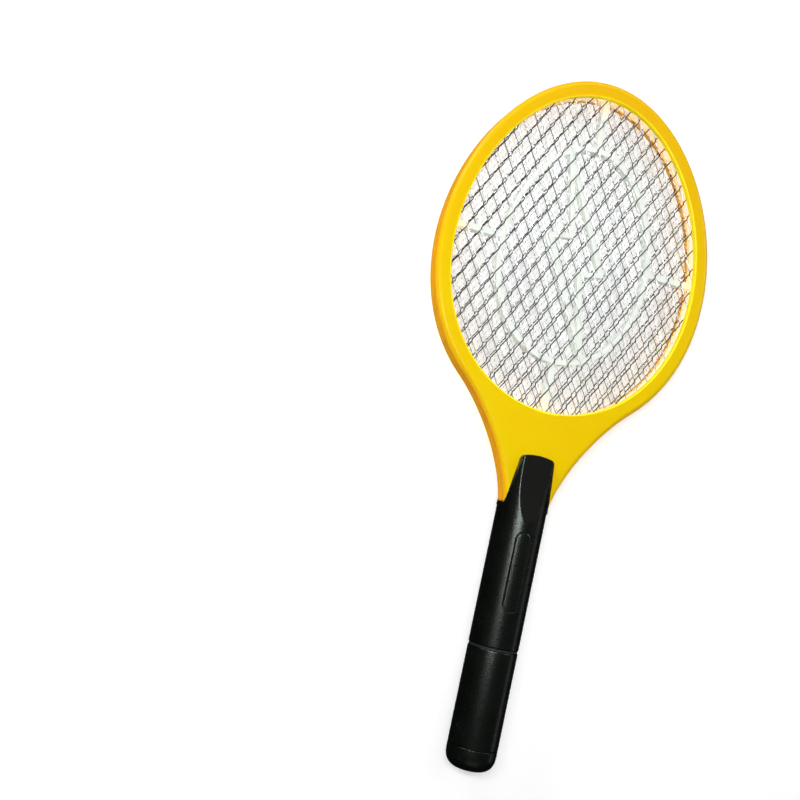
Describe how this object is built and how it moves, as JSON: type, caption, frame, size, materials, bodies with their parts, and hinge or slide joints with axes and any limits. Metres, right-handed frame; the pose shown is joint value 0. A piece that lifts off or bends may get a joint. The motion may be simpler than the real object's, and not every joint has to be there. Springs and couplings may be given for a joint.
{
  "type": "electric fly swatter",
  "caption": "Racket-shaped insect swatter: oval head with three wire grids, round battery handle with a side push button.",
  "frame": {"origin": "bottom centre of the bounding box, with the racket lying on its back", "axes": "+Y from the handle's end to the head's tip, +X to the right seen from the front (the button's side), +Z out of the front face"},
  "size_m": [0.1886, 0.456, 0.0326],
  "materials": {
    "frame_yellow": "satin moulded ABS with a fine sparkle texture",
    "spacer_white": "natural white moulded plastic",
    "grid_dark": "dull grey expanded metal",
    "grid_bright": "bright fine expanded metal",
    "handle_black": "satin black moulded ABS, spark-textured on the facet",
    "carrier_black": "matt black moulded plastic",
    "screw_steel": "zinc-plated steel",
    "contact_nickel": "nickel-plated spring steel",
    "cell_jacket": "printed film over a steel can, plain green and black",
    "button_red": "glossy red moulded plastic",
    "chip_black": "moulded epoxy",
    "lens_clear": "clear epoxy",
    "board_tan": "paper-phenolic board",
    "ferrite": "dull grey ferrite",
    "winding_tape": "enamelled copper wire under yellow tape",
    "capacitor_red": "dipped epoxy",
    "resistor_tan": "coated carbon film",
    "lead_red": "PVC insulated wire",
    "lead_black": "PVC insulated wire"
  },
  "bodies": {
    "racket": {"front_frame": "frame_yellow", "back_frame": "frame_yellow", "front_spacer": "spacer_white", "back_spacer": "spacer_white", "front_grid": "grid_dark", "centre_grid": "grid_bright", "back_grid": "grid_dark", "front_handle_shell": "handle_black", "back_handle_shell": "handle_black", "handle_screw_lower": "screw_steel", "handle_screw_upper": "screw_steel", "neck_screw": "screw_steel", "battery_carrier": "carrier_black", "aa_cell_left": "cell_jacket", "aa_cell_right": "cell_jacket", "contact_bridge": "contact_nickel", "contact_spring_left": "contact_nickel", "contact_spring_right": "contact_nickel", "positive_contact": "contact_nickel", "negative_contact": "contact_nickel", "tact_switch": "chip_black", "led_lens": "lens_clear", "circuit_board": "board_tan", "transformer_core": "ferrite", "transformer_winding": "winding_tape", "film_capacitor_large": "capacitor_red", "film_capacitor_small": "capacitor_red", "transistor": "chip_black", "diode_1": "chip_black", "diode_2": "chip_black", "diode_3": "chip_black", "resistor_1": "resistor_tan", "resistor_2": "resistor_tan", "battery_lead_positive": "lead_red", "battery_lead_negative": "lead_black", "centre_grid_lead": "lead_red", "front_grid_lead": "lead_black", "grid_bridge_lead": "lead_black", "centre_grid_tab": "contact_nickel", "front_grid_tab": "contact_nickel", "back_grid_tab": "contact_nickel"},
    "sleeve": {"battery_sleeve": "handle_black", "end_cap": "handle_black"},
    "button": {"push_button": "button_red", "switch_plunger": "chip_black"}
  },
  "joints": [
    {"name": "sleeve_pull", "type": "slide", "parent": "racket", "child": "sleeve", "axis": [0, -1, 0], "range_m": [0, 0.075]},
    {"name": "button_push", "type": "slide", "parent": "racket", "child": "button", "axis": [-1, 0, 0], "range_m": [0, 0.001], "stiffness_N_per_m": 1500}
  ]
}
